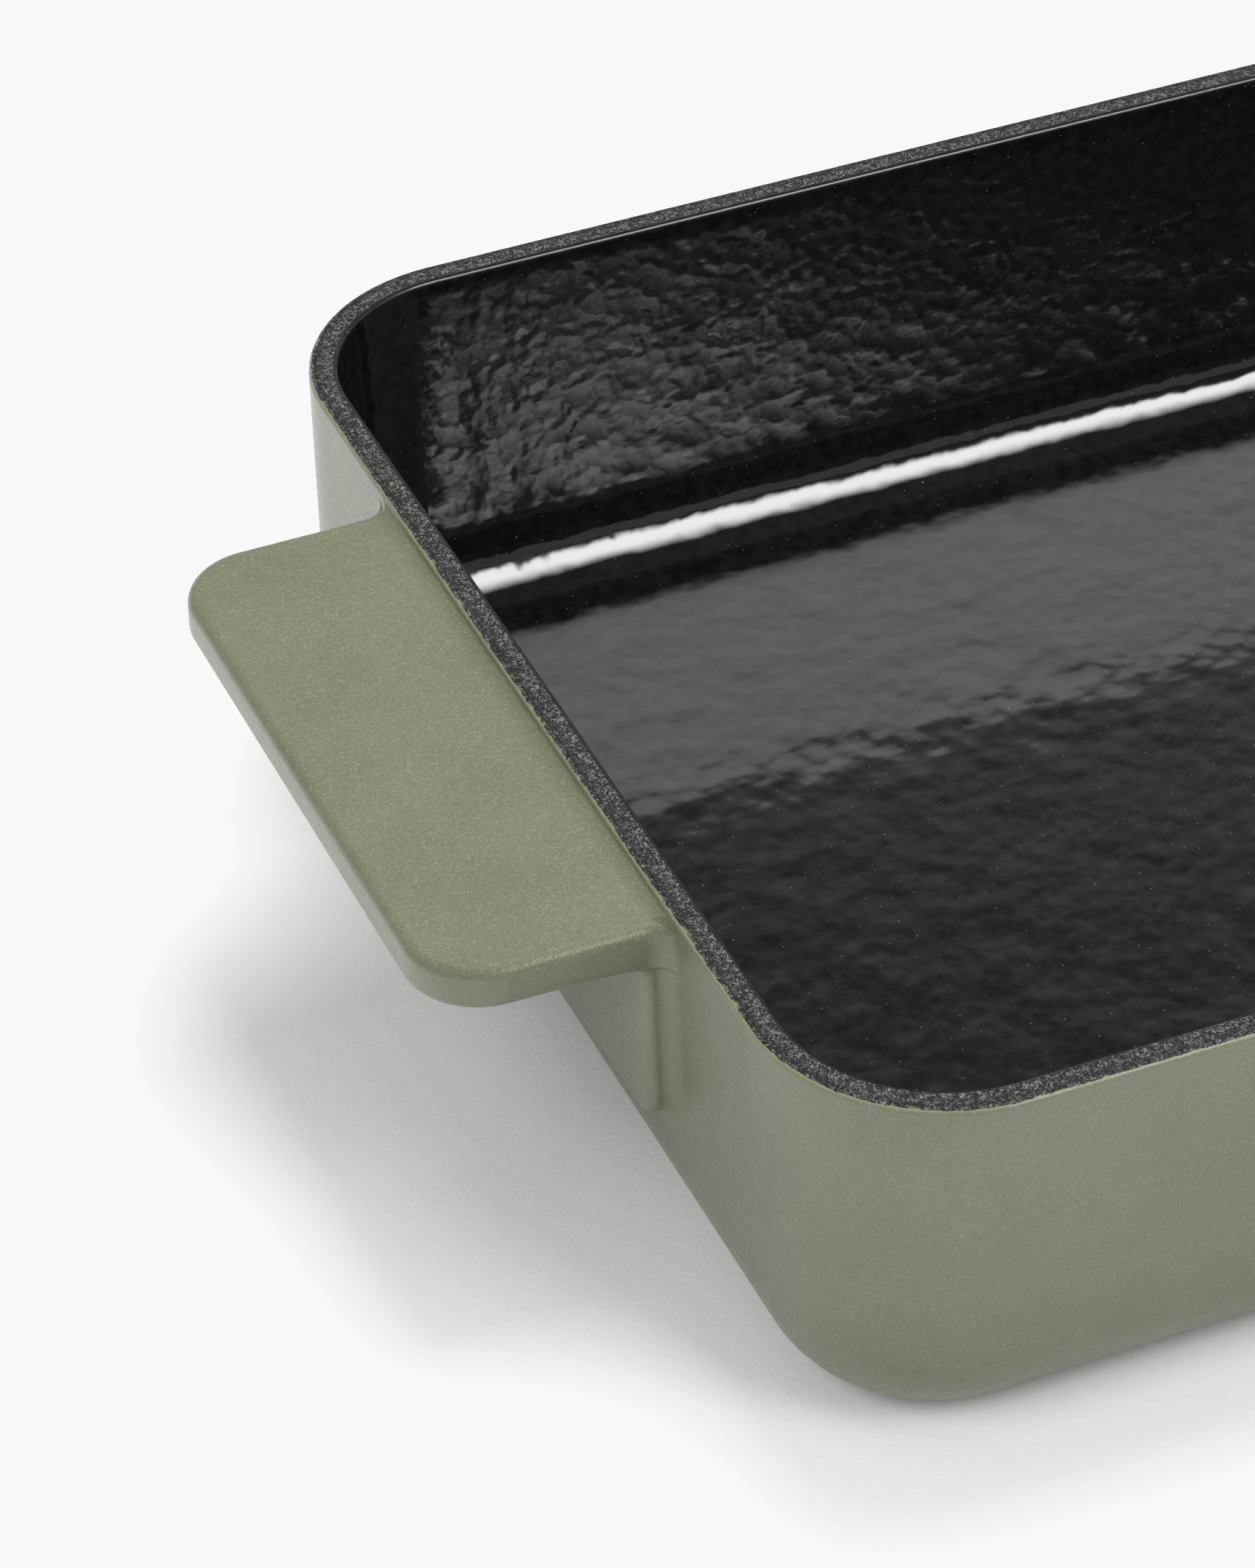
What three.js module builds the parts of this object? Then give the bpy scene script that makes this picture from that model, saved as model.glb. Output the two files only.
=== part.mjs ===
// Enamelled cast-iron roasting pan: one casting with two tongue handles, and the coats fired onto it.
// Millimetres, +Z up. The origin is under the middle of the pan, on the surface that it stands on.
// X runs along the pan from handle to handle, Y across it.
import * as THREE from 'three';

// Body, measured over the finished enamel
const bodyLength = 340;
const bodyWidth = 240;
const bodyHeight = 68;
const rimCornerRadius = 31.4;
const baseCornerRadius = 26;
const wallDraft = 1.7;
const baseEdgeRadius = 18.6;

// Inside, measured over the finished enamel
const rimThickness = 5;
const innerDraft = 3.5;
const floorThickness = 3.6;
const coveReach = 11.5;
const coveHeight = 15.5;

// Rim edges
const rimOuterRound = 1;
const rimInnerRound = 0.8;

// Tongue handles, one on each short side
const handleWidth = 117.6;
const handleReach = 38.3;
const handleDrop = 2.3;
const handleThickness = 7.4;
const handleCornerRadius = 12.5;
const handleTopRound = 2;
const handleUnderRound = 1.5;
const handleRootRadius = 4;
const rimFilletRadius = 5;

// Raised pad on the wall under each handle
const padReach = 4.3;
const padFootHeight = 25.5;
const padCornerRadius = 7;
const padEdgeRound = 1.6;
const gripFilletRadius = 3;

// Fired coats
const coatThickness = 0.4;

// Steps of the round stretches
const cornerSteps = 5;
const baseEdgeSteps = 5;
const coveSteps = 4;
const longSideSteps = 4;

// Spacing of the rows where a handle's rounds run out into the wall
const fadeShare = 0.4;
const gripRootDrops = [1, 0.5, 0.2];
const rimRootRises = [0.25, 0.6, 1];

// Colours and finishes
const ironColour = 0x3a3a3c;
const greenColour = 0x8b9278;
const blackColour = 0x141314;
const groundCoatColour = 0x47464a;

const lerp = THREE.MathUtils.lerp;
const quarterTurn = Math.PI / 2;

// Share of its radius by which the middle of a round lies inside the sharp edge
const setback = 1 - Math.SQRT1_2;

// The wall is widest where the round of the rim's outer edge begins
const lipHeight = bodyHeight - rimOuterRound;

// Fillets and rounds are limited by the walls that carry them
const halfHandle = handleWidth / 2;
const handleTop = bodyHeight - handleDrop;
const handleUnder = handleTop - handleThickness;
const handleCorner = Math.min(handleCornerRadius, handleReach / 2, halfHandle / 2);
const edgeRoom = handleThickness / 2;
const topRound = Math.min(handleTopRound, edgeRoom);
const underRound = Math.min(handleUnderRound, edgeRoom);
const padEdge = Math.min(padEdgeRound, padReach / 2);
const padRoot = padReach - padEdge;
const gripFillet = Math.min(gripFilletRadius, (handleReach - handleCorner - padReach) / 2);
const padFront = handleUnder - gripFillet - padFootHeight;
const padCorner = Math.max(Math.min(padCornerRadius, halfHandle / 2, padFront / 2), padEdgeRound);
const rimRise = lipHeight - handleTop;
const rimFillet = Math.max(rimFilletRadius, rimRise);
const rimFilletRun = Math.sqrt(2 * rimFillet * rimRise - rimRise * rimRise);

// Under a coat a round is smaller by the coat, and never quite sharp
const roundUnder = (round, inset) => Math.max(round - inset, round / 4);

// Stations along a handle, from its middle to where its end has run into the wall
const arcStart = 1;
const padFlatEnd = 3;
const padBend = 4;
const arcEnd = 5;
const besideRoot = 6;
const rootStart = 7;
const rootEnd = 9;

// A round's share at a station: full on the tongue, fading out where the tongue runs into the wall
function roundShare(station) {
  if (station < besideRoot) return 1;
  return station === besideRoot ? fadeShare : 0;
}

// Places along the wall for each station, for the rows that lie on the plain wall
function wallAlong(station) {
  const spread = halfHandle - handleRootRadius;
  if (station <= arcEnd) return (spread * station) / arcEnd;
  return lerp(spread, halfHandle + handleRootRadius, (station - arcEnd) / (rootEnd - arcEnd));
}

// Plan of the tongue: how far out and how far along each station lies, moved in by an inset.
// After its straight end comes a hollow fillet that runs out into the wall.
function tonguePlan(station, inset) {
  const arcOut = handleReach - handleCorner;
  if (station < arcStart) return { out: handleReach - inset, along: 0 };
  if (station <= arcEnd) {
    const turn = (quarterTurn * (station - arcStart)) / (arcEnd - arcStart);
    const radius = handleCorner - inset;
    return {
      out: arcOut + radius * Math.cos(turn),
      along: halfHandle - handleCorner + radius * Math.sin(turn),
    };
  }
  if (station === besideRoot) {
    const out = Math.min(padReach + gripFillet + padEdge, (handleRootRadius + arcOut) / 2);
    return { out, along: halfHandle - inset };
  }
  const turn = (quarterTurn * (station - rootStart)) / (rootEnd - rootStart);
  const hollow = handleRootRadius + inset;
  return {
    out: handleRootRadius - hollow * Math.sin(turn),
    along: halfHandle + handleRootRadius - hollow * Math.cos(turn),
  };
}

// Section through the pad's edge, from the wall over a hollow fillet and a round to the front.
// It tells how far inside the pad's outline a step lies, and how far out from the wall.
const sectionSteps = rootEnd - arcEnd;
const hollowSteps = rootEnd - rootStart;

function padSection(step, inset) {
  if (step <= hollowSteps) {
    const turn = (quarterTurn * step) / hollowSteps;
    const hollow = padRoot + inset;
    return { inside: hollow * Math.sin(turn) - padRoot, out: padRoot - hollow * Math.cos(turn) };
  }
  const turn = (quarterTurn * (step - hollowSteps)) / (sectionSteps - hollowSteps);
  const round = roundUnder(padEdge, inset);
  return {
    inside: padEdge - round * Math.cos(turn),
    out: padReach - inset - round + round * Math.sin(turn),
  };
}

// Along the flat front of the pad, up to where its corners begin
const padFlat = (station) => ((halfHandle - padCorner) * station) / padFlatEnd;

// Plan of the pad above its lower corners, with its sides in line with the ends of the tongue
function padPlan(station, inset) {
  if (station <= padFlatEnd) return { out: padReach - inset, along: padFlat(station) };
  if (station === padBend) return { out: padReach - inset, along: halfHandle - (padCorner + padEdge) / 2 };
  const { inside, out } = padSection(rootEnd - station, inset);
  return { out, along: halfHandle - inside };
}

// Place on the pad's lower edge. A row follows the lower edge to the middle of the rounded corner and is
// crossed there by the station that goes on up the side at the same depth.
function padFootPlace(row, station, inset) {
  if (station <= padFlatEnd) {
    const { inside, out } = padSection(row, inset);
    return { out, along: padFlat(station), height: padFootHeight + inside };
  }
  const side = rootEnd - station;
  const { inside, out } = padSection(Math.min(row, side), inset);
  const onward = row > side ? (row - side) / (sectionSteps + 1 - side) : 0;
  const before = row > side ? 1 : (station - padFlatEnd) / (rootEnd - row - padFlatEnd);
  const turn = (quarterTurn / 2) * (before + onward);
  const radius = padCorner - inside;
  return {
    out,
    along: halfHandle - padCorner + radius * Math.sin(turn),
    height: padFootHeight + padCorner - radius * Math.cos(turn),
  };
}

// Columns round one half of the pan, past a corner, a handle, a corner and a long side.
// The other half is the same one turned round.
function halfColumns() {
  const straightEnd = bodyWidth / 2 - rimCornerRadius;
  const bracketEnd = halfHandle + Math.max(handleRootRadius, padRoot);
  const beside = (bracketEnd + straightEnd) / 2;
  const turns = Array.from({ length: cornerSteps + 1 }, (_, step) => (quarterTurn * step) / cornerSteps);
  const stations = Array.from({ length: rootEnd + 1 }, (_, station) => station);
  const longSteps = Array.from({ length: longSideSteps - 1 }, (_, step) => step + 1);
  return [
    ...turns.map((turn) => ({ kind: 'corner', side: -1, turn: turn - quarterTurn })),
    { kind: 'side', side: -1, along: -beside },
    ...stations.slice(1).reverse().map((station) => ({ kind: 'handle', side: -1, station })),
    ...stations.map((station) => ({ kind: 'handle', side: 1, station })),
    { kind: 'side', side: 1, along: beside },
    ...turns.map((turn) => ({ kind: 'corner', side: 1, turn })),
    ...longSteps.map((step) => ({ kind: 'long', side: 1, share: 1 - (2 * step) / longSideSteps })),
  ];
}

const columns = halfColumns();

// Point of a rounded rectangle at a column
function outlinePoint(column, halfLength, halfWidth, radius) {
  if (column.kind === 'corner') {
    const x = halfLength - radius + radius * Math.cos(column.turn);
    const y = column.side * (halfWidth - radius) + radius * Math.sin(column.turn);
    return [x, y];
  }
  if (column.kind === 'long') return [column.share * (halfLength - radius), halfWidth];
  const along = column.kind === 'side' ? column.along : column.side * wallAlong(column.station);
  return [halfLength, along];
}

// How far the wall leans in at a height
const wallInset = (height) => wallDraft * (1 - height / lipHeight);

// Outside of the wall at a height, moved in by an inset
function outsidePoint(column, height, inset) {
  const moved = wallInset(height) + inset;
  const corner = lerp(baseCornerRadius, rimCornerRadius, height / lipHeight) - inset;
  const radius = Math.max(corner, coatThickness);
  return outlinePoint(column, bodyLength / 2 - moved, bodyWidth / 2 - moved, radius);
}

// Inside of the wall, moved in from the outline of the rim
function insidePoint(column, inset) {
  const radius = Math.max(rimCornerRadius - inset, coatThickness);
  return outlinePoint(column, bodyLength / 2 - inset, bodyWidth / 2 - inset, radius);
}

// A ring takes a point from every column of one half, and the same points turned half round
function makeRing(rank, pointAt) {
  const half = columns.map(pointAt);
  const points = [...half, ...half.map(([x, y, z]) => [-x, -y, z])];
  return { rank, points };
}

// Row over a handle: place tells how far out, how far along and how high each station lies, and the rest of
// the row goes round the plain wall at the height of the handle's end
function handleRow(inset, place) {
  const end = place(rootEnd);
  return (column) => {
    if (column.kind !== 'handle') return [...outsidePoint(column, end.height, inset), end.height];
    const { out, along, height } = place(column.station);
    return [bodyLength / 2 + out, column.side * along, height];
  };
}

// Rows of the rounded edge between the base and the wall
function baseEdgeRows(inset) {
  const rows = [];
  for (let step = 0; step <= baseEdgeSteps; step += 1) {
    const turn = quarterTurn * (1 - step / baseEdgeSteps);
    const height = baseEdgeRadius - (baseEdgeRadius - inset) * Math.sin(turn);
    const moved = baseEdgeRadius - (baseEdgeRadius - inset) * Math.cos(turn);
    rows.push((column) => [...outsidePoint(column, baseEdgeRadius, moved), height]);
  }
  return rows;
}

// Plan of a place near the root, drawn in where the wall behind it leans in
function leaned({ out, along }, height) {
  const share = Math.max(1 - Math.max(out, 0) / handleReach, 0);
  return { out: out - wallInset(height) * share, along, height };
}

// Rows of the pad's lower edge and of the place where its lower corners end
function padRows(inset) {
  const rows = [];
  for (let row = 0; row <= sectionSteps; row += 1) {
    const place = (station) => {
      const { out, along, height } = padFootPlace(row, station, inset);
      return { out: out - wallInset(height), along, height };
    };
    rows.push(handleRow(inset, place));
  }
  const height = padFootHeight + padCorner;
  const cornerEnd = (station) => {
    const { out, along } = padPlan(station, inset);
    return { out: out - wallInset(height), along, height };
  };
  return [...rows, handleRow(inset, cornerEnd)];
}

// Rows of the fillet between the pad and the underside of the tongue
function gripRows(inset) {
  const radius = gripFillet + inset;
  const under = handleUnder + inset;
  const lean = wallInset(handleUnder - gripFillet);
  const steps = [
    { run: 0, drop: 1 },
    { run: setback, drop: setback },
    { run: 1, drop: 0 },
  ];
  return steps.map(({ run, drop }, index) =>
    handleRow(inset, (station) => {
      const plan = padPlan(station, inset);
      if (station >= rootStart) return leaned(plan, under - radius * gripRootDrops[index]);
      const tongue = tonguePlan(station, inset);
      const along = lerp(plan.along, tongue.along, (run * radius) / handleReach);
      return { out: plan.out - lean + run * radius, along, height: under - radius * drop };
    }),
  );
}

// Rows of the tongue's under edge, outer face and top edge
function tongueRows(inset) {
  const under = handleUnder + inset;
  const top = handleTop - inset;
  const low = roundUnder(underRound, inset);
  const high = roundUnder(topRound, inset);
  const steps = [
    { back: low, height: under },
    { back: low * setback, height: under + low * setback },
    { back: 0, height: under + low },
    { back: 0, height: top - high },
    { back: high * setback, height: top - high * setback },
    { back: high, height: top },
  ];
  return steps.map(({ back, height }) =>
    handleRow(inset, (station) => leaned(tonguePlan(station, inset + back * roundShare(station)), height)),
  );
}

// Rows of the fillet between the tongue's top and the wall under the rim
function rimFilletRows(inset) {
  const top = handleTop - inset;
  const radius = rimFillet + inset;
  const sweep = Math.asin((rimFilletRun + inset) / radius);
  const shares = [0, 0.5, 1];
  return shares.map((share, index) =>
    handleRow(inset, (station) => {
      const along = wallAlong(station);
      const filletOut = rimFilletRun - radius * Math.sin(sweep * share);
      const filletHeight = handleTop + rimFillet - radius * Math.cos(sweep * share);
      if (station < rootStart) return leaned({ out: filletOut, along }, Math.min(filletHeight, lipHeight));
      const root = tonguePlan(station, inset);
      const out = Math.min(lerp(root.out, -inset, rimRootRises[index]), filletOut);
      const height = lerp(top, lipHeight, rimRootRises[index]);
      return leaned({ out, along: lerp(root.along, along, share) }, height);
    }),
  );
}

// Rows of the rim's outer edge, up to the flat top
function rimEdgeRows(inset) {
  const round = roundUnder(rimOuterRound, inset);
  const steps = [
    { back: round * setback, drop: round * setback },
    { back: round, drop: 0 },
  ];
  return steps.map(({ back, drop }) => (column) => {
    const height = bodyHeight - inset - drop;
    return [...outsidePoint(column, lipHeight, inset + back), height];
  });
}

// The outside, from the flat base up to the flat top of the rim
function outsideRings(inset) {
  const rows = [
    ...baseEdgeRows(inset),
    ...padRows(inset),
    ...gripRows(inset),
    ...tongueRows(inset),
    ...rimFilletRows(inset),
    ...rimEdgeRows(inset),
  ];
  return rows.map((row, rank) => makeRing(rank, row));
}

// The inside, from the flat top of the rim down to the flat floor, at a depth under the finish
function insideRings(depth) {
  const round = roundUnder(rimInnerRound, depth);
  const rim = rimThickness - depth;
  const top = bodyHeight - depth;
  const rows = [
    { inset: rim - round, height: top },
    { inset: rim - round * setback, height: top - round * setback },
    { inset: rim, height: top - round },
  ];
  const lean = innerDraft / (bodyHeight - floorThickness);
  const centreHeight = floorThickness + coveHeight;
  const coveStart = Math.atan((lean * coveHeight) / coveReach);
  const wallFootHeight = centreHeight - coveHeight * Math.sin(coveStart);
  const wallFoot = rimThickness + lean * (bodyHeight - wallFootHeight);
  const centreInset = wallFoot + coveReach * Math.cos(coveStart);
  for (let step = 0; step <= coveSteps; step += 1) {
    const turn = lerp(coveStart, quarterTurn, step / coveSteps);
    rows.push({
      inset: centreInset - (coveReach + depth) * Math.cos(turn),
      height: centreHeight - (coveHeight + depth) * Math.sin(turn),
    });
  }
  return rows.map(({ inset, height }, rank) =>
    makeRing(rank, (column) => [...insidePoint(column, inset), height]),
  );
}

// Triangles between two rings, the same for every solid that meets along them
function bandTriangles(low, high, startLow, startHigh) {
  const count = low.points.length;
  const triangles = [];
  for (let index = 0; index < count; index += 1) {
    const next = (index + 1) % count;
    const column = index % columns.length;
    const mirrored = columns[column].side < 0 && columns[(column + 1) % columns.length].side < 0;
    const [a, b] = [startLow + index, startLow + next];
    const [c, d] = [startHigh + index, startHigh + next];
    const rising = (low.rank < high.rank) !== mirrored;
    if (rising) triangles.push(a, b, d, a, d, c);
    else triangles.push(a, b, c, b, d, c);
  }
  return triangles;
}

// Triangles that close a flat ring
function capTriangles(ring, start, facingUp) {
  const outline = ring.points.map(([x, y]) => new THREE.Vector2(x, y));
  const faces = THREE.ShapeUtils.triangulateShape(outline, []);
  return faces.flatMap(([a, b, c]) => {
    const [second, third] = facingUp ? [b, c] : [c, b];
    return [start + a, start + second, start + third];
  });
}

// A solid whose surface runs from ring to ring and comes back to its first ring, or has flat ends
function ringSolid(name, rings, closing, material) {
  const positions = rings.flatMap((ring) => ring.points.flat());
  const starts = rings.map((_, index) => index * columns.length * 2);
  const triangles = [];
  for (let index = 0; index + 1 < rings.length; index += 1) {
    triangles.push(...bandTriangles(rings[index], rings[index + 1], starts[index], starts[index + 1]));
  }
  const last = rings.length - 1;
  if (closing === 'joined') {
    triangles.push(...bandTriangles(rings[last], rings[0], starts[last], 0));
  } else {
    triangles.push(...capTriangles(rings[0], 0, false));
    triangles.push(...capTriangles(rings[last], starts[last], true));
  }
  const geometry = new THREE.BufferGeometry();
  geometry.setAttribute('position', new THREE.Float32BufferAttribute(positions, 3));
  geometry.setIndex(triangles);
  geometry.computeVertexNormals();
  const mesh = new THREE.Mesh(geometry, material);
  mesh.name = name;
  return mesh;
}

const finishedOutside = outsideRings(0);
const ironOutside = outsideRings(coatThickness);
const finishedInside = insideRings(0);
const ironInside = insideRings(coatThickness);
const rimOuter = { finished: finishedOutside.at(-1), iron: ironOutside.at(-1) };
const rimInner = { finished: finishedInside[0], iron: ironInside[0] };

// The casting: base, outside, rim, inside and floor
function ironCasting() {
  const material = new THREE.MeshStandardMaterial({ color: ironColour, roughness: 0.7, metalness: 0.6 });
  const rings = [...ironOutside, ...ironInside];
  return ringSolid('iron_casting', rings, 'capped', material);
}

// Satin green coat on the outside, with its edges at the base and at the rim
function exteriorEnamel() {
  const material = new THREE.MeshStandardMaterial({ color: greenColour, roughness: 0.45, metalness: 0 });
  const rings = [...finishedOutside, ...ironOutside.toReversed()];
  return ringSolid('exterior_enamel', rings, 'joined', material);
}

// Gloss black coat on the inside
function interiorEnamel() {
  const material = new THREE.MeshStandardMaterial({ color: blackColour, roughness: 0.08, metalness: 0 });
  const rings = [...ironInside.toReversed(), ...finishedInside];
  return ringSolid('interior_enamel', rings, 'capped', material);
}

// Matt ground coat on the flat top of the rim
function rimGroundCoat() {
  const material = new THREE.MeshStandardMaterial({ color: groundCoatColour, roughness: 0.8, metalness: 0 });
  const rings = [rimOuter.iron, rimOuter.finished, rimInner.finished, rimInner.iron];
  return ringSolid('rim_ground_coat', rings, 'joined', material);
}

// Matt ground coat on the flat base
function baseGroundCoat() {
  const material = new THREE.MeshStandardMaterial({ color: groundCoatColour, roughness: 0.8, metalness: 0 });
  const rings = [finishedOutside[0], ironOutside[0]];
  return ringSolid('base_ground_coat', rings, 'capped', material);
}

const pan = new THREE.Group();
pan.name = 'roasting_pan';
pan.add(ironCasting(), exteriorEnamel(), interiorEnamel(), rimGroundCoat(), baseGroundCoat());

export default pan;
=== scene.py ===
"""Enamelled cast-iron roasting pan: fine surfaces, fired-coat materials, studio floor, light and camera."""
import math

import bpy
import numpy as np
from mathutils import Matrix, Vector


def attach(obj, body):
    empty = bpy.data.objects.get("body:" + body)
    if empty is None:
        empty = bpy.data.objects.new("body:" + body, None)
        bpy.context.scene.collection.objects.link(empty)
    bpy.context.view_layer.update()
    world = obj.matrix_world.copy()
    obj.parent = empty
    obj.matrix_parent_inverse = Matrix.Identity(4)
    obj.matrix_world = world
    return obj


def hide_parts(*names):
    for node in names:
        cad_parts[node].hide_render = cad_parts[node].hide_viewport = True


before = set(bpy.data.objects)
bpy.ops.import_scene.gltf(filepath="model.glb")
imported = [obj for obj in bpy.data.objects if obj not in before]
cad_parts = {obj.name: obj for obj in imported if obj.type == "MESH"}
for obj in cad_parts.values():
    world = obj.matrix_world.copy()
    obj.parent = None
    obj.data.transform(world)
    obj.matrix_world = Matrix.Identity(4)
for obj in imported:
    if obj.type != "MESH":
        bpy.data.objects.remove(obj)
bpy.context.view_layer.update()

MM = 0.001

# Sizes of the pan in millimetres, over the finished enamel
BODY_LENGTH, BODY_WIDTH, BODY_HEIGHT = 340.0, 240.0, 68.0
RIM_CORNER, BASE_CORNER = 31.4, 26.0
WALL_DRAFT, BASE_EDGE = 1.7, 18.6
RIM_THICKNESS, INNER_DRAFT, FLOOR = 5.0, 3.5, 3.6
COVE_REACH, COVE_HEIGHT = 11.5, 15.5
RIM_OUTER_ROUND, RIM_INNER_ROUND = 1.0, 0.8
HANDLE_WIDTH, HANDLE_REACH, HANDLE_DROP, HANDLE_THICKNESS = 117.6, 38.3, 2.3, 7.4
HANDLE_CORNER, TOP_ROUND, UNDER_ROUND, ROOT = 12.5, 2.0, 1.5, 4.0
RIM_FILLET = 5.0
PAD_REACH, PAD_FOOT, PAD_CORNER, PAD_EDGE, PAD_HOLLOW, GRIP = 4.3, 25.5, 7.0, 1.6, 4.0, 3.0
COAT = 0.4

# Where the handle runs into the wall: how far under the tongue the grip ends as a share of GRIP, how far out
# the fillet starts as a share of the handle's edge there, and how high it starts as a share of RISE
GRIP_END, FILLET_END_OUT, FILLET_END_RISE = 0.2, 0.9, 0.25

LIP = BODY_HEIGHT - RIM_OUTER_ROUND
HALF_HANDLE = HANDLE_WIDTH / 2
TOP = BODY_HEIGHT - HANDLE_DROP
UNDER = TOP - HANDLE_THICKNESS
PAD_ROOT = PAD_REACH - PAD_EDGE
RISE = LIP - TOP
FILLET_RUN = math.sqrt(2 * RIM_FILLET * RISE - RISE * RISE)
ARC_OUT = HANDLE_REACH - HANDLE_CORNER
BESIDE_OUT = PAD_REACH + GRIP + PAD_EDGE

# Stations along one half of a handle, from its middle to where its end has run into the wall
ARC_START, FLAT_END, ARC_END, BESIDE, ROOT_START, ROOT_END = 4, 12, 20, 24, 28, 36
SECTION = ROOT_END - ARC_END
HOLLOW = ROOT_END - ROOT_START
CORNER_ROWS = 6

# Steps of each stretch, round the pan and then from the base over the rim to the floor
CORNER_STEPS, SIDE_STEPS, LONG_STEPS = 18, 8, 70
BASE_STEPS, GRIP_STEPS, UNDER_STEPS, TOP_STEPS, FILLET_STEPS, LIP_STEPS = 14, 8, 6, 8, 8, 6
RIM_STEPS, INNER_STEPS, WALL_STEPS, COVE_STEPS = 8, 5, 14, 18

# Places of the rings between two stretches, and on the floor toward its middle, as shares of the way
BASE_TO_PAD, PAD_TO_GRIP = (0.3, 0.7), (0.15, 0.4, 0.65, 0.9)
ALONG_TONGUE, ALONG_FLOOR = (0.04, 0.25, 0.5, 0.75, 0.96), (0.04, 0.12, 0.25, 0.4, 0.55, 0.7, 0.82, 0.92)


def mix(a, b, share):
    return a + (b - a) * share


def smooth(share):
    share = min(max(share, 0.0), 1.0)
    return share * share * (3 - 2 * share)


def spread(first, last, steps):
    return [mix(first, last, step / steps) for step in range(steps + 1)]


def wall_inset(height):
    return WALL_DRAFT * (1 - height / LIP)


def fade(station):
    """1 on the tongue, 0 from where its end begins to run into the wall."""
    return 1 - smooth((station - ARC_END) / (ROOT_START - ARC_END))


def top_fade(station):
    """1 on the tongue, 0 where its end has run into the wall."""
    return 1 - smooth((station - ROOT_START) / (ROOT_END - ROOT_START))


# Plan of a handle at a station: how far out from the wall, and how far along it


def wall_along(station):
    """Where the station's column meets the wall."""
    reach = HALF_HANDLE - ROOT
    if station <= ARC_END:
        return reach * station / ARC_END
    return mix(reach, HALF_HANDLE + ROOT, (station - ARC_END) / (ROOT_END - ARC_END))


def tongue_plan(station, inset):
    """Edge of the tongue with its corner arc, and the hollow by which it runs into the wall."""
    if station < ARC_START:
        return HANDLE_REACH - inset, (HALF_HANDLE - HANDLE_CORNER) * station / ARC_START
    if station <= ARC_END:
        turn = math.pi / 2 * (station - ARC_START) / (ARC_END - ARC_START)
        radius = HANDLE_CORNER - inset
        return ARC_OUT + radius * math.cos(turn), HALF_HANDLE - HANDLE_CORNER + radius * math.sin(turn)
    if station <= BESIDE:
        return mix(ARC_OUT, BESIDE_OUT, (station - ARC_END) / (BESIDE - ARC_END)), HALF_HANDLE - inset
    if station < ROOT_START:
        return mix(BESIDE_OUT, ROOT, (station - BESIDE) / (ROOT_START - BESIDE)), HALF_HANDLE - inset
    turn = math.pi / 2 * (station - ROOT_START) / (ROOT_END - ROOT_START)
    hollow = ROOT + inset
    return ROOT - hollow * math.sin(turn), HALF_HANDLE + ROOT - hollow * math.cos(turn)


def pad_section(step):
    """Edge of the pad, from its hollow on the wall to its round: how far in, and how far out."""
    if step <= HOLLOW:
        turn = math.pi / 2 * step / HOLLOW
        return PAD_HOLLOW * (math.sin(turn) - 1), PAD_ROOT * (1 - math.cos(turn))
    turn = math.pi / 2 * (step - HOLLOW) / (SECTION - HOLLOW)
    return PAD_EDGE * (1 - math.cos(turn)), PAD_ROOT + PAD_EDGE * math.sin(turn)


def pad_plan(station):
    """Face of the pad, and its edge where it runs into the wall."""
    if station <= FLAT_END:
        return PAD_REACH, (HALF_HANDLE - PAD_CORNER) * station / FLAT_END
    if station <= ARC_END:
        share = (station - FLAT_END) / (ARC_END - FLAT_END)
        return PAD_REACH, HALF_HANDLE - mix(PAD_CORNER, PAD_EDGE, share)
    inset, out = pad_section(ROOT_END - station)
    return out, HALF_HANDLE - inset


def pad_foot(row, station):
    """Foot of the pad row by row, with its corners as arcs that the end's stations follow."""
    if row > SECTION and station < ARC_END:
        share = (row - SECTION) / CORNER_ROWS
        out, along, height = pad_foot(SECTION, station)
        return out, mix(along, pad_plan(station)[1], share), mix(height, PAD_FOOT + PAD_CORNER, share)
    if station <= FLAT_END:
        inset, out = pad_section(row)
        return out, pad_plan(station)[1], PAD_FOOT + inset
    side = ROOT_END - station
    inset, out = pad_section(min(row, side))
    before = 1.0 if row > side else (station - FLAT_END) / (ROOT_END - row - FLAT_END)
    onward = (row - side) / (SECTION + CORNER_ROWS - side) if row > side else 0.0
    turn = math.pi / 4 * (before + onward)
    radius = PAD_CORNER - inset
    along = HALF_HANDLE - PAD_CORNER + radius * math.sin(turn)
    return out, along, PAD_FOOT + PAD_CORNER - radius * math.cos(turn)


def leaned(out, along, height):
    """Follows the lean of the wall at the root of the handle, and less the further out."""
    share = max(1 - max(out, 0) / HANDLE_REACH, 0)
    return out - wall_inset(height) * share, along, height


# Columns round the pan, and the rings that cross them


def half_columns():
    """Columns of one half of the pan, round one short side and along one long side."""
    straight = BODY_WIDTH / 2 - RIM_CORNER
    end = HALF_HANDLE + ROOT
    beside = spread(straight, end, SIDE_STEPS)[1:-1]
    turns = spread(0, math.pi / 2, CORNER_STEPS)
    columns = [("corner", -1, turn - math.pi / 2) for turn in turns]
    columns += [("side", -1, along) for along in beside]
    columns += [("handle", -1, station) for station in range(ROOT_END, 0, -1)]
    columns += [("handle", 1, station) for station in range(ROOT_END + 1)]
    columns += [("side", 1, along) for along in reversed(beside)]
    columns += [("corner", 1, turn) for turn in turns]
    columns += [("long", 1, share) for share in spread(1, -1, LONG_STEPS)[1:-1]]
    return columns


COLUMNS = half_columns()


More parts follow.
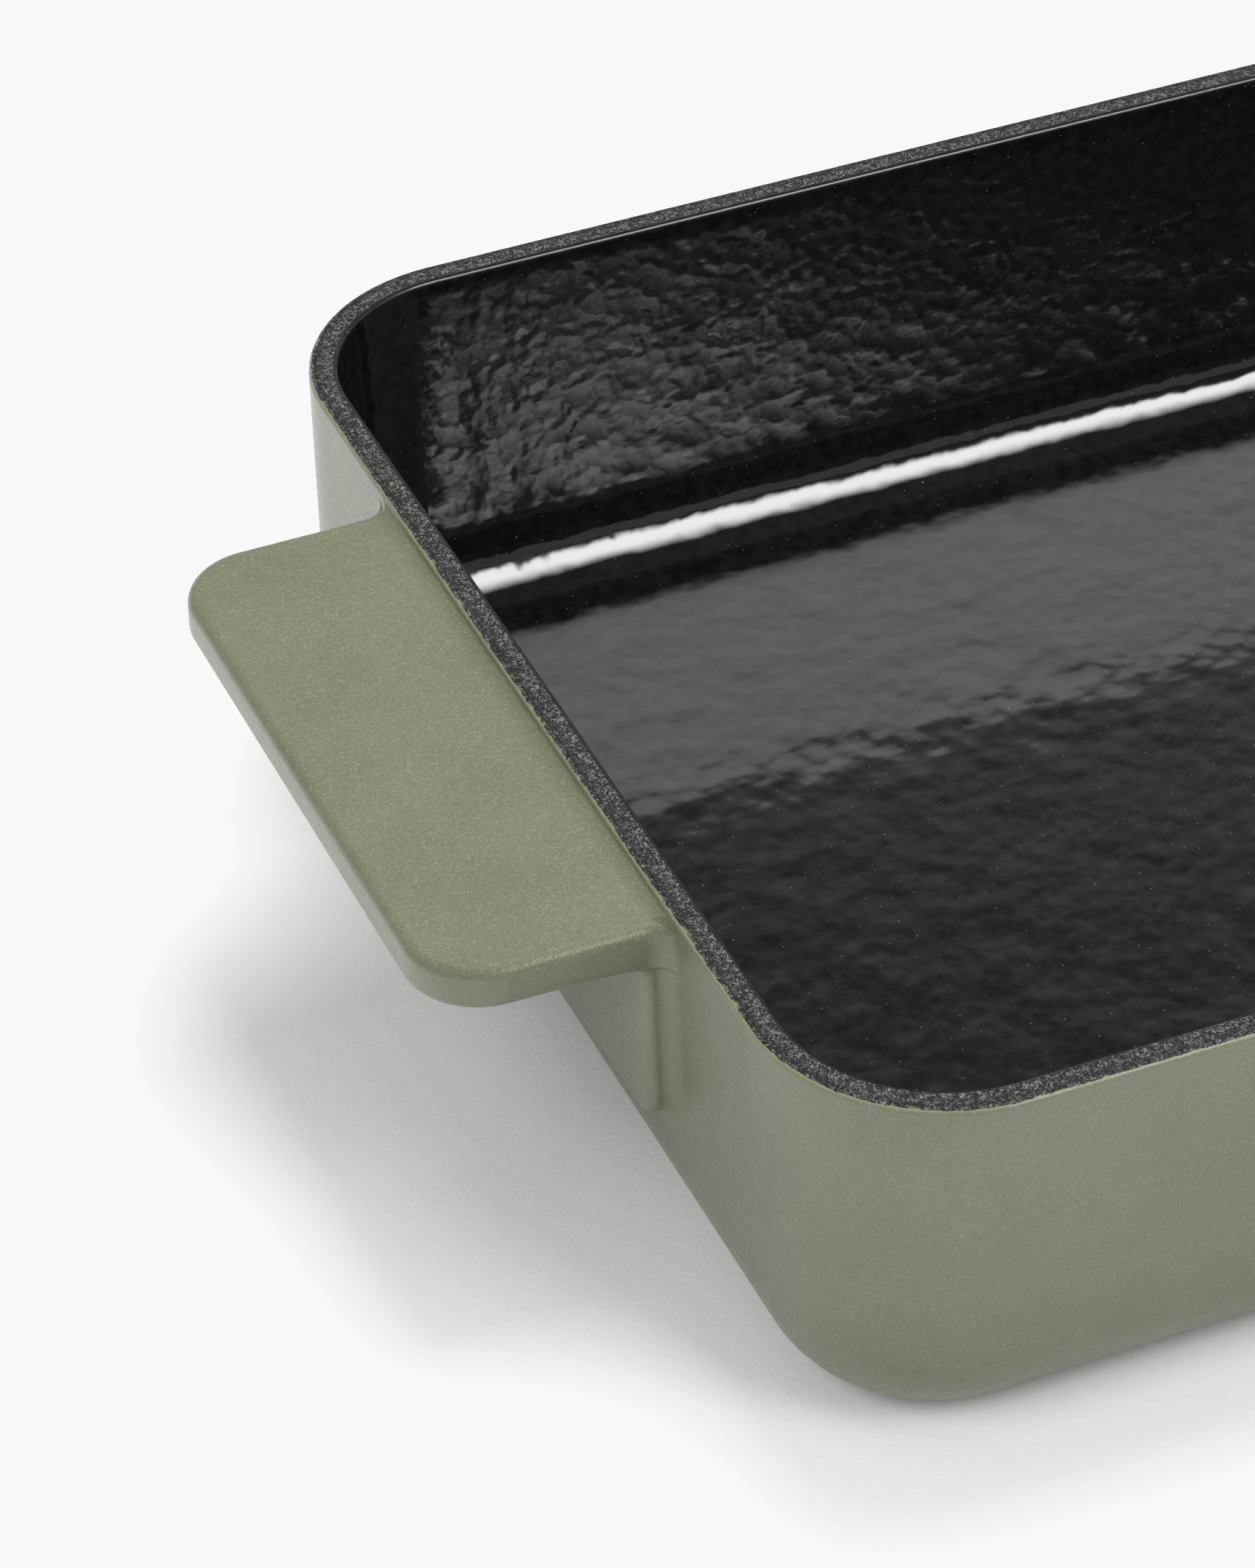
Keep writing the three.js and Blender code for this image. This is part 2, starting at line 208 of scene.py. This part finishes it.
def outline(column, half_length, half_width, radius):
    kind, side, value = column
    if kind == "corner":
        x = half_length - radius + radius * math.cos(value)
        return x, side * (half_width - radius) + radius * math.sin(value)
    if kind == "long":
        return value * (half_length - radius), half_width
    return half_length, side * (value if kind == "side" else wall_along(value))


def outside(column, height, inset):
    moved = wall_inset(height) + inset
    radius = mix(BASE_CORNER, RIM_CORNER, height / LIP) - inset
    return outline(column, BODY_LENGTH / 2 - moved, BODY_WIDTH / 2 - moved, radius)


def inside(column, inset):
    return outline(column, BODY_LENGTH / 2 - inset, BODY_WIDTH / 2 - inset, RIM_CORNER - inset)


def ring(point):
    """A ring round the pan, whose second half is the first one turned by half a turn."""
    half = np.array([point(column) for column in COLUMNS])
    return np.concatenate([half, half * (-1, -1, 1)])


def handle_ring(place):
    """A ring that follows the wall, and at the handles the places of their stations."""
    end_height = place(ROOT_END)[2]

    def point(column):
        kind, side, station = column
        if kind != "handle":
            return (*outside(column, end_height, 0), end_height)
        out, along, height = place(station)
        return BODY_LENGTH / 2 + out, side * along, height

    return ring(point)


def base_rings():
    """The round from the flat underside to the wall."""
    rings = []
    for turn in spread(math.pi / 2, 0, BASE_STEPS):
        height = BASE_EDGE * (1 - math.sin(turn))
        moved = BASE_EDGE * (1 - math.cos(turn))
        rings.append(ring(lambda column: (*outside(column, BASE_EDGE, moved), height)))
    return rings


def pad_rings():
    """The foot of the pads under the handles."""

    def place(row):
        def at(station):
            out, along, height = pad_foot(row, station)
            return out - wall_inset(height), along, height
        return at

    return [handle_ring(place(row)) for row in range(SECTION + CORNER_ROWS + 1)]


def grip_rings():
    """The hollow from the pads out to the underside of the handles."""
    lean = wall_inset(UNDER - GRIP)

    def place(turn):
        run, drop = 1 - math.cos(turn), 1 - math.sin(turn)
        root_drop = mix(1, GRIP_END, turn / (math.pi / 2))

        def at(station):
            share = fade(station)
            out, along = pad_plan(station)
            along = mix(along, tongue_plan(station, 0)[1], share * run * GRIP / HANDLE_REACH)
            return out - lean + share * run * GRIP, along, UNDER - GRIP * mix(root_drop, drop, share)
        return at

    return [handle_ring(place(turn)) for turn in spread(0, math.pi / 2, GRIP_STEPS)]


def tongue_rings():
    """The lower and the upper round of the handles' edge."""
    under = [(UNDER_ROUND * (1 - math.cos(t)), UNDER + UNDER_ROUND * (1 - math.sin(t)))
             for t in spread(math.pi / 2, 0, UNDER_STEPS)]
    top = [(TOP_ROUND * (1 - math.cos(t)), TOP - TOP_ROUND * (1 - math.sin(t)))
           for t in spread(0, math.pi / 2, TOP_STEPS)]

    def place(back, height, share):
        return lambda station: leaned(*tongue_plan(station, back * share(station)), height)

    rings = [handle_ring(place(back, height, fade)) for back, height in under]
    return rings + [handle_ring(place(back, height, top_fade)) for back, height in top]


def fillet_rings():
    """The fillet from the top of the handles up to the rim's lip."""
    sweep = math.asin(FILLET_RUN / RIM_FILLET)

    def place(share):
        out_share = 1 - RIM_FILLET * math.sin(sweep * share) / FILLET_RUN
        arc_rise = RIM_FILLET * (1 - math.cos(sweep * share)) / RISE

        def at(station):
            along = wall_along(station)
            if station <= ARC_END:
                start, out, rise = along, FILLET_RUN, arc_rise
            elif station <= ROOT_START:
                onward = (station - ARC_END) / (ROOT_START - ARC_END)
                start = mix(HALF_HANDLE - ROOT, HALF_HANDLE - TOP_ROUND, onward)
                out, rise = FILLET_RUN, arc_rise
            else:
                root = (station - ROOT_START) / (ROOT_END - ROOT_START)
                root_out, start = tongue_plan(station, TOP_ROUND * top_fade(station))
                out = max(root_out, 0) * mix(FILLET_RUN / ROOT, FILLET_END_OUT, root)
                rise = mix(arc_rise, mix(FILLET_END_RISE, 1, share), root)
            # A ring takes up the wall's own spacing only near the top of the fillet
            return leaned(out * out_share, mix(start, along, share ** 3), mix(TOP, LIP, rise))
        return at

    return [handle_ring(place(share)) for share in spread(0, 1, FILLET_STEPS)]


def lip_rings():
    """The outer round of the rim."""
    rings = []
    for turn in spread(0, math.pi / 2, LIP_STEPS)[1:]:
        back = RIM_OUTER_ROUND * (1 - math.cos(turn))
        height = LIP + RIM_OUTER_ROUND * math.sin(turn)
        rings.append(ring(lambda column: (*outside(column, LIP, back), height)))
    return rings


def between(low, high, shares):
    return [mix(low, high, share) for share in shares]


def outside_rings():
    """The whole outside, from the flat underside to the top of the rim."""
    base, pad, grip, tongue, fillet, lip = (
        base_rings(), pad_rings(), grip_rings(), tongue_rings(), fillet_rings(), lip_rings())
    rings = base + between(base[-1], pad[0], BASE_TO_PAD) + pad
    rings += between(pad[-1], grip[0], PAD_TO_GRIP) + grip
    rings += between(grip[-1], tongue[0], ALONG_TONGUE) + tongue
    rings += between(tongue[-1], fillet[0], ALONG_TONGUE) + fillet + lip
    return rings


def inside_rings():
    """The inner round of the rim, the wall, the elliptical cove and the flat floor."""
    rows = []
    for turn in spread(math.pi / 2, 0, INNER_STEPS):
        rows.append((RIM_THICKNESS - RIM_INNER_ROUND * (1 - math.cos(turn)),
                     BODY_HEIGHT - RIM_INNER_ROUND * (1 - math.sin(turn))))
    lean = INNER_DRAFT / (BODY_HEIGHT - FLOOR)
    centre_height = FLOOR + COVE_HEIGHT
    start = math.atan(lean * COVE_HEIGHT / COVE_REACH)
    wall_foot = RIM_THICKNESS + lean * (BODY_HEIGHT - centre_height + COVE_HEIGHT * math.sin(start))
    centre = wall_foot + COVE_REACH * math.cos(start)
    cove = [(centre - COVE_REACH * math.cos(turn), centre_height - COVE_HEIGHT * math.sin(turn))
            for turn in spread(start, math.pi / 2, COVE_STEPS)]
    top, foot = np.array(rows[-1]), np.array(cove[0])
    wall = [tuple(mix(top, foot, share)) for share in spread(0, 1, WALL_STEPS)[1:-1]]
    rows += wall + cove
    rings = [ring(lambda column: (*inside(column, inset), height)) for inset, height in rows]
    floor = rings[-1]
    for share in ALONG_FLOOR:
        rings.append(floor * (1 - share, 1 - share, 1))
    return rings


# Meshes


def grid_normals(grid):
    """Outward directions of a surface that is given as rings, row by row."""
    along = np.roll(grid, -1, axis=1) - np.roll(grid, 1, axis=1)
    normals = np.cross(along, np.gradient(grid, axis=0))
    return normals / np.linalg.norm(normals, axis=2, keepdims=True)


def add_object(name, data):
    added = bpy.data.objects.new(name, data)
    bpy.context.scene.collection.objects.link(added)
    return added


def add_solid(name, rings, closing, node, material, across=None, sides=2):
    """A closed solid from ring to ring, whose last ring meets the first one or whose two ends are flat.

    A coat has two sides, and the narrow faces from one side to the other are shaded flat."""
    rows, count = len(rings), len(rings[0])
    side_rows = rows // sides
    faces, smooth_faces = [], []
    for row in range(rows if closing == "joined" else rows - 1):
        low, high = row * count, (row + 1) % rows * count
        for index in range(count):
            following = (index + 1) % count
            faces.append((low + index, low + following, high + following, high + index))
        smooth_faces += [(row + 1) % side_rows != 0] * count
    if closing == "capped":
        faces.append(tuple(range(count - 1, -1, -1)))
        faces.append(tuple(range((rows - 1) * count, rows * count)))
        smooth_faces += [False, False]
    mesh = bpy.data.meshes.new(name)
    mesh.from_pydata((np.concatenate(rings) * MM).tolist(), [], faces)
    mesh.polygons.foreach_set("use_smooth", smooth_faces)
    if across is not None:
        layer = mesh.attributes.new("across", "FLOAT", "POINT")
        layer.data.foreach_set("value", np.repeat(np.array(across, dtype=np.float32), count))
    mesh.materials.append(material)
    piece = add_object(name, mesh)
    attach(piece, "root")
    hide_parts(node)


# Materials


class Nodes:
    """A material's node tree, with short calls for the nodes it is made of.

    A pattern's scale is the number of its cells in a metre, and a bump's distance is in metres."""

    SPECK_STEP = 0.02

    def __init__(self, name):
        self.material = bpy.data.materials.new(name)
        self.material.use_nodes = True
        self.tree = self.material.node_tree
        self.shader = self.tree.nodes["Principled BSDF"]
        self.place = self.add("ShaderNodeTexCoord").outputs["Object"]

    def add(self, kind, **settings):
        node = self.tree.nodes.new(kind)
        for key, value in settings.items():
            setattr(node, key, value)
        return node

    def put(self, socket, value):
        if isinstance(value, bpy.types.NodeSocket):
            self.tree.links.new(value, socket)
        else:
            socket.default_value = value

    def noise(self, scale, detail=2.0, roughness=0.5):
        node = self.add("ShaderNodeTexNoise")
        self.put(node.inputs["Vector"], self.place)
        self.put(node.inputs["Scale"], scale)
        self.put(node.inputs["Detail"], detail)
        self.put(node.inputs["Roughness"], roughness)
        return node.outputs["Fac"]

    def cells(self, scale, output="Distance"):
        node = self.add("ShaderNodeTexVoronoi")
        self.put(node.inputs["Vector"], self.place)
        self.put(node.inputs["Scale"], scale)
        return node.outputs[output]

    def ramp(self, value, low, high, to_low=0.0, to_high=1.0):
        """A smooth step from to_low to to_high, as the value goes from low to high."""
        node = self.add("ShaderNodeMapRange", interpolation_type="SMOOTHSTEP")
        self.put(node.inputs["Value"], value)
        for socket, number in zip(node.inputs[1:5], (low, high, to_low, to_high)):
            self.put(socket, number)
        return node.outputs["Result"]

    def math(self, operation, first, second):
        node = self.add("ShaderNodeMath", operation=operation)
        self.put(node.inputs[0], first)
        self.put(node.inputs[1], second)
        return node.outputs[0]

    def blend(self, share, first, second):
        node = self.add("ShaderNodeMix", data_type="RGBA")
        self.put(node.inputs["Factor"], share)
        colours = [socket for socket in node.inputs if socket.type == "RGBA"]
        self.put(colours[0], first)
        self.put(colours[1], second)
        return [socket for socket in node.outputs if socket.type == "RGBA"][0]

    def upward(self, vector):
        node = self.add("ShaderNodeSeparateXYZ")
        self.put(node.inputs[0], vector)
        return node.outputs["Z"]

    def height(self):
        return self.upward(self.place)

    def facing_up(self):
        return self.upward(self.add("ShaderNodeNewGeometry").outputs["Normal"])

    def value(self, label):
        return self.add("ShaderNodeAttribute", attribute_name=label).outputs["Fac"]

    def bump(self, height, distance, under=None):
        node = self.add("ShaderNodeBump")
        self.put(node.inputs["Distance"], distance)
        self.put(node.inputs["Height"], height)
        if under is not None:
            self.put(node.inputs["Normal"], under)
        return node.outputs["Normal"]

    def specks(self, scale, radius, rarity):
        """Round spots in some of the cells of a cell pattern."""
        spot = self.ramp(self.cells(scale), radius / 2, radius, 1, 0)
        chosen = self.ramp(self.cells(scale, "Color"), rarity, rarity + self.SPECK_STEP)
        return self.math("MULTIPLY", spot, chosen)

    def finish(self, **sockets):
        for label, value in sockets.items():
            self.put(self.shader.inputs[label.replace("_", " ").title().replace("Ior", "IOR")], value)
        return self.material


def speckled(n, share=1.0):
    """The ground coat's pale flakes, denser in patches, in a dark base."""
    dark, pale = (0.010, 0.0098, 0.0100, 1), (0.16, 0.157, 0.150, 1)
    flakes = n.ramp(n.cells(scale=4200, output="Color"), 0.36, 0.88)
    patches = n.ramp(n.noise(scale=900, detail=3, roughness=0.6), 0.38, 0.62, 0.22, 1)
    return n.blend(n.math("MULTIPLY", n.math("MULTIPLY", flakes, patches), share), dark, pale)


def green_enamel():
    """Satin sage green with a fine grain, which ends in a ragged edge at the rim's ground coat."""
    n = Nodes("green_enamel")
    sage, light_sage = (0.108, 0.118, 0.073, 1), (0.120, 0.130, 0.082, 1)
    # The pale grain is real grain, and where it is denser on upward faces it is a painted glint
    dark_grain, pale_grain_and_glint = (0.055, 0.060, 0.035, 1), (0.27, 0.29, 0.20, 1)
    dark_speck, pale_speck = (0.02, 0.02, 0.015, 1), (0.6, 0.6, 0.55, 1)
    thin_edge_and_highlight, edge_start, raggedness = (0.27, 0.265, 0.15, 1), 0.1, 0.45
    grain_depth, wave_depth = 0.00009, 0.00009

    grain = n.noise(scale=2700, detail=2, roughness=0.6)
    colour = n.blend(n.ramp(n.noise(scale=45, detail=3), 0.3, 0.7), sage, light_sage)
    colour = n.blend(n.ramp(grain, 0.3, 0.5, 0.30, 0), colour, dark_grain)
    # Pale grain everywhere, denser on faces that point up: painted sparkle of light from above over the real
    # grain
    grain_and_top_glint_share = n.ramp(n.facing_up(), 0.5, 1, 0.26, 0.42)
    colour = n.blend(n.ramp(grain, 0.52, 0.74, 0, grain_and_top_glint_share), colour, pale_grain_and_glint)
    colour = n.blend(n.specks(scale=95, radius=0.022, rarity=0.72), colour, dark_speck)
    colour = n.blend(n.specks(scale=80, radius=0.016, rarity=0.78), colour, pale_speck)

    lip = n.ramp(n.height(), (LIP + edge_start) * MM, BODY_HEIGHT * MM)
    uneven = n.math("MULTIPLY", n.math("SUBTRACT", n.noise(scale=420, detail=3), 0.5), raggedness)
    # Toward the lip the green turns lighter: thinner enamel there, and a painted highlight along the lip's
    # round
    colour = n.blend(n.math("MULTIPLY", lip, 0.5), colour, thin_edge_and_highlight)
    colour = n.blend(n.ramp(n.math("ADD", lip, uneven), 0.84, 0.96), colour, speckled(n))

    normal = n.bump(grain, grain_depth)
    normal = n.bump(n.noise(scale=260, detail=3), wave_depth, under=normal)
    return n.finish(base_color=colour, roughness=n.ramp(grain, 0.3, 0.7, 0.36, 0.28), normal=normal, ior=1.5)


def black_enamel():
    """Gloss black with dust, finely pebbled on the wall and gently wavy on the floor."""
    n = Nodes("black_enamel")
    black, brown_black = (0.0030, 0.0024, 0.0026, 1), (0.0080, 0.0066, 0.0068, 1)
    dust_colour = (0.15, 0.12, 0.105, 1)
    pebble_depth, wave_depth = 0.00006, 0.00026
    floor_roughness, wall_roughness, edge_roughness, dust_roughness = 0.1, 0.07, 0.3, 0.5
    height, low, high = n.height(), FLOOR * MM, 2 * COVE_HEIGHT * MM
    above_floor = (FLOOR + 2) * MM
    edge_start, edge_end = (BODY_HEIGHT - 1.5) * MM, (BODY_HEIGHT - 0.5) * MM

    clouds = n.ramp(n.noise(scale=420, detail=4, roughness=0.7), 0.35, 0.65)
    fine_dust = n.specks(scale=650, radius=0.09, rarity=0.55)
    coarse_dust = n.specks(scale=260, radius=0.05, rarity=0.64)
    dust = n.math("MAXIMUM", fine_dust, coarse_dust)
    colour = n.blend(dust, n.blend(clouds, black, brown_black), dust_colour)

    pebbles = n.math("MULTIPLY", n.noise(scale=430, detail=0.5), n.ramp(height, low, high, 0.3, 1))
    waves = n.math("MULTIPLY", n.noise(scale=120, detail=1.5), n.ramp(height, low, high, 1, 0.25))
    normal = n.bump(waves, wave_depth, under=n.bump(pebbles, pebble_depth))

    gloss = n.ramp(height, low, above_floor, floor_roughness, wall_roughness)
    edge = n.ramp(height, edge_start, edge_end, 0, edge_roughness)
    dusty = n.math("MULTIPLY", dust, dust_roughness)
    roughness = n.math("MAXIMUM", n.math("MAXIMUM", edge, gloss), dusty)
    return n.finish(base_color=colour, roughness=roughness, specular_ior_level=0.49, normal=normal, ior=1.8)


def ground_coat():
    """Matt and speckled with a few rusty spots, darker toward the green on the rim."""
    n = Nodes("ground_coat")
    rust, grit_depth = (0.16, 0.06, 0.025, 1), 0.00020
    colour = speckled(n, n.ramp(n.value("across"), 0.05, 0.55, 0.45, 1))
    colour = n.blend(n.specks(scale=60, radius=0.05, rarity=0.74), colour, rust)
    normal = n.bump(n.noise(scale=2600, detail=3, roughness=0.7), grit_depth)
    return n.finish(base_color=colour, roughness=0.55, normal=normal, ior=1.5)


def cast_iron():
    n = Nodes("cast_iron")
    dark, grey, sand_depth = (0.03, 0.03, 0.032, 1), (0.08, 0.075, 0.07, 1), 0.0002
    sand = n.noise(scale=900, detail=4)
    return n.finish(base_color=n.blend(sand, dark, grey), roughness=0.7, metallic=0.7,
                    normal=n.bump(sand, sand_depth))


def paper():
    n = Nodes("paper")
    pale, white, tooth_depth = (0.855, 0.857, 0.866, 1), (0.875, 0.877, 0.886, 1), 0.0001
    colour = n.blend(n.noise(scale=40, detail=3), pale, white)
    normal = n.bump(n.noise(scale=700, detail=3), tooth_depth)
    return n.finish(base_color=colour, roughness=0.9, normal=normal, ior=1.3)


# Pieces

outer, inner = outside_rings(), inside_rings()
rim_shares = spread(0, 1, RIM_STEPS)
finish = np.array(outer + between(outer[-1], inner[0], rim_shares[1:-1]) + inner)
casting = finish - COAT * grid_normals(finish)
lip_row = len(outer) - 1
lining_row = lip_row + RIM_STEPS
base_shares = (0.5, 0.5)

green, black, ground, iron = green_enamel(), black_enamel(), ground_coat(), cast_iron()


def coat(first, last):
    return [*finish[first:last + 1], *casting[first:last + 1][::-1]]


add_solid("casting", list(casting), "capped", "iron_casting", iron, sides=1)
add_solid("outside_coat", coat(0, lip_row), "joined", "exterior_enamel", green)
add_solid("rim_coat", coat(lip_row, lining_row), "joined", "rim_ground_coat", ground,
          rim_shares + rim_shares[::-1])
add_solid("inside_coat", [*casting[lining_row:][::-1], *finish[lining_row:]], "capped", "interior_enamel",
          black)
add_solid("base_coat", [finish[0], casting[0]], "capped", "base_ground_coat", ground,
          base_shares)

# Floor, in metres

PAPER_REACH = 6.0

corners = [(PAPER_REACH * x, PAPER_REACH * y, 0) for x, y in ((-1, -1), (1, -1), (1, 1), (-1, 1))]
floor_mesh = bpy.data.meshes.new("floor")
floor_mesh.from_pydata(corners, [], [(0, 1, 2, 3)])
floor_mesh.materials.append(paper())
floor = add_object("floor", floor_mesh)

# Light of the room and of its ceiling, which starts where a direction points up by this much

ROOM_LIGHT, CEILING_LIGHT = 0.30, 0.085
CEILING_START, CEILING_FULL = 0.57, 0.67

world = bpy.data.worlds.new("studio")
bpy.context.scene.world = world
world.use_nodes = True
sky = world.node_tree
direction = sky.nodes.new("ShaderNodeTexCoord").outputs["Generated"]
upward = sky.nodes.new("ShaderNodeSeparateXYZ")
room = sky.nodes.new("ShaderNodeMapRange")
room.interpolation_type = "SMOOTHSTEP"
for socket, number in zip(room.inputs[1:5], (CEILING_START, CEILING_FULL, ROOM_LIGHT, CEILING_LIGHT)):
    socket.default_value = number
sky.links.new(direction, upward.inputs[0])
sky.links.new(upward.outputs["Z"], room.inputs["Value"])
sky.links.new(room.outputs["Result"], sky.nodes["Background"].inputs["Color"])


def placed(centre, right, up, back):
    return Matrix.Translation(centre) @ Matrix((right, up, back)).transposed().to_4x4()


def softbox(name, centre, aim, size, radiance, up):
    """A rectangular light that faces a point, with the brightness of its face. Gloss doesn't show it."""
    light = bpy.data.lights.new(name, "AREA")
    light.shape = "RECTANGLE"
    light.size, light.size_y = size
    light.energy = radiance * math.pi * size[0] * size[1]
    back = (Vector(centre) - Vector(aim)).normalized()
    right = Vector(up).cross(back).normalized()
    lamp = add_object(name, light)
    lamp.matrix_world = placed(centre, right, back.cross(right), back)
    lamp.visible_glossy = False


# The card lies on a drum round a line along X. Places on it are given by X in millimetres and by the angle
# up from the front in degrees. Its left end leans, and its glow starts higher toward the right
CARD_RADIUS, CARD_AXIS_Y, CARD_AXIS_Z = 1200, 60, 10
CARD_LOW, CARD_HIGH, CARD_ROWS, CARD_COLUMNS = 25, 67, 43, 33
CARD_RIGHT, CARD_LEFT, CARD_LEFT_ANGLE, CARD_LEAN = 640, 238, 28, 6.2
GLOW_LOW, GLOW_CLIMB, GLOW_CLIMB_X = 25.4, 0.03, 270
GLOW_EDGE_LEFT, GLOW_EDGE_RIGHT, GLOW_EDGE_X, GLOW_EDGE_RUN = 9, 5, 400, 150
GLOW_HIGH, GLOW_FALL, GLOW_END_SHARE = 66, 22, 0.12


def card_glow(x, angle, share):
    """Brightness of a place on the card, which fades at its lower edge, upward and at its left end."""
    dark_below = GLOW_LOW + GLOW_CLIMB * max(x - GLOW_CLIMB_X, 0)
    edge = mix(GLOW_EDGE_LEFT, GLOW_EDGE_RIGHT, smooth((x - GLOW_EDGE_X) / GLOW_EDGE_RUN))
    rise = smooth((angle - dark_below) / edge) * smooth((GLOW_HIGH - angle) / GLOW_FALL)
    return rise * smooth(share / GLOW_END_SHARE)


def glow_card(brightness):
    """A bent white card in front of the pan that only its gloss shows."""
    points, glow = [], []
    for angle in np.linspace(CARD_LOW, CARD_HIGH, CARD_ROWS):
        left = CARD_LEFT - CARD_LEAN * (angle - CARD_LEFT_ANGLE)
        turn = math.radians(angle)
        y, z = CARD_AXIS_Y - CARD_RADIUS * math.cos(turn), CARD_AXIS_Z + CARD_RADIUS * math.sin(turn)
        for share in np.linspace(0, 1, CARD_COLUMNS):
            x = mix(left, CARD_RIGHT, share)
            points.append((x * MM, y * MM, z * MM))
            glow.append(card_glow(x, angle, share))
    starts = [row * CARD_COLUMNS + i for row in range(CARD_ROWS - 1) for i in range(CARD_COLUMNS - 1)]
    faces = [(start, start + 1, start + CARD_COLUMNS + 1, start + CARD_COLUMNS) for start in starts]
    mesh = bpy.data.meshes.new("card")
    mesh.from_pydata(points, [], faces)
    mesh.attributes.new("glow", "FLOAT", "POINT").data.foreach_set("value", glow)
    n = Nodes("card")
    dark, warm_white = (0.02, 0.02, 0.02, 1), (1, 0.995, 0.985, 1)
    mesh.materials.append(n.finish(base_color=dark, emission_color=warm_white,
                                   emission_strength=n.math("MULTIPLY", n.value("glow"), brightness)))
    card = add_object("card", mesh)
    card.visible_diffuse = card.visible_camera = card.visible_shadow = False


softbox("key", centre=(0.25, 0.40, 1.2), aim=(-0.1, 0, 0), size=(0.8, 0.8), radiance=9.0, up=(0, 1, 0))
softbox("overhead", centre=(-0.18, 0.12, 1.3), aim=(-0.14, 0.03, 0), size=(1.5, 1.5), radiance=0.8,
        up=(0, 1, 0))
softbox("front", centre=(0.40, -0.87, 0.88), aim=(-0.06, 0, 0), size=(0.5, 0.7), radiance=6.6, up=(0, 0, 1))
softbox("left", centre=(-1.1, -0.5, 1.0), aim=(-0.17, -0.05, 0.03), size=(0.8, 0.8), radiance=5.2,
        up=(0, 0, 1))
glow_card(brightness=10.4)

# Camera, with angles in degrees, the target in millimetres and the distance in metres

AZIMUTH, ELEVATION, ROLL = (math.radians(angle) for angle in (-22.107, 37.974, -1.288))
TARGET = Vector((-132.10, 49.78, 3.0)) * MM
DISTANCE, FOCAL_PIXELS, IMAGE_WIDTH, SENSOR = 1.120, 9052.4, 1725, 36.0

back = Vector((math.sin(AZIMUTH) * math.cos(ELEVATION), -math.cos(AZIMUTH) * math.cos(ELEVATION),
               math.sin(ELEVATION)))
level = Vector((math.cos(AZIMUTH), math.sin(AZIMUTH), 0))
rise = back.cross(level)
right = math.cos(ROLL) * level + math.sin(ROLL) * rise
up = math.cos(ROLL) * rise - math.sin(ROLL) * level
camera_data = bpy.data.cameras.new("camera")
camera_data.sensor_fit = "HORIZONTAL"
camera_data.sensor_width = SENSOR
camera_data.lens = FOCAL_PIXELS * SENSOR / IMAGE_WIDTH
camera = add_object("camera", camera_data)
camera.matrix_world = placed(TARGET + back * DISTANCE, right, up, back)
bpy.context.scene.camera = camera

# The picture's white stops at the tone of the paper, and tones below the knee stay as they are
PAPER_WHITE, KNEE = 0.939, 0.8
view = bpy.context.scene.view_settings
view.view_transform = "Standard"
view.use_curve_mapping = True
view.curve_mapping.extend = "HORIZONTAL"
tone = view.curve_mapping.curves[3]
tone.points[1].location = (1.0, PAPER_WHITE)
tone.points.new(KNEE, KNEE)
view.curve_mapping.update()
